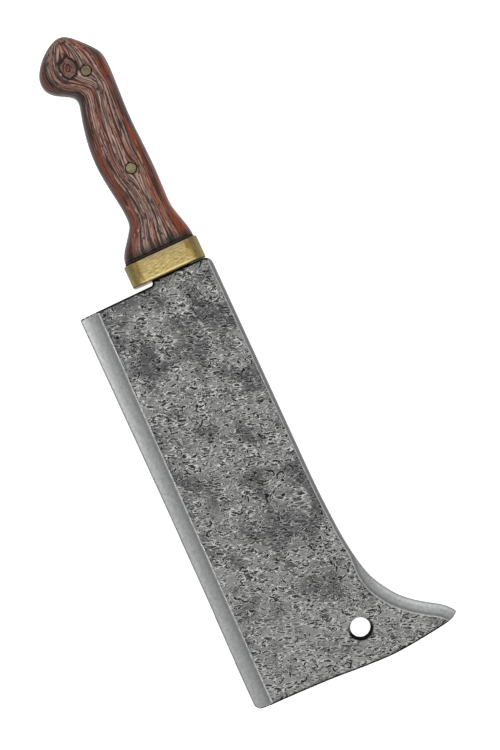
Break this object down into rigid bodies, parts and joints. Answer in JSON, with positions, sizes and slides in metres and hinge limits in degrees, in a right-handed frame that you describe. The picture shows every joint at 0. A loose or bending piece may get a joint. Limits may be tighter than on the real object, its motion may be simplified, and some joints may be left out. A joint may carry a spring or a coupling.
{
  "type": "meat cleaver",
  "caption": "Heavy butcher's cleaver: long rectangular blade with a hooked, pierced far corner, brass bolster and rounded hardwood handle pinned by brass cutler's rivets.",
  "frame": {"origin": "under the middle of the tool's box, on the plane the tool lies on: the underside of the bolster", "axes": "+X from the pommel to the blade's far end, +Y across the blade from its cutting edge to its spine, +Z out of the blade's right face, the one seen with the point of the hook away from the viewer and the edge to the left"},
  "size_m": [0.4556, 0.1456, 0.027],
  "materials": {
    "forged_steel": "forged and etched, covered in small worm-like pits; ground bands along the edge, spine and hook are satin",
    "aged_brass": "satin with a brown patina towards the rounded ends",
    "red_hardwood": "oiled red-brown hardwood with dark figured grain",
    "black_fibre": "vulcanised fibre, matt"
  },
  "bodies": {
    "root": {"blade": "forged_steel", "bolster": "aged_brass", "fibre_spacer": "black_fibre", "scale_right": "red_hardwood", "scale_left": "red_hardwood", "front_rivet_male": "aged_brass", "front_rivet_female": "aged_brass", "rear_rivet_male": "aged_brass", "rear_rivet_female": "aged_brass"}
  },
  "joints": []
}
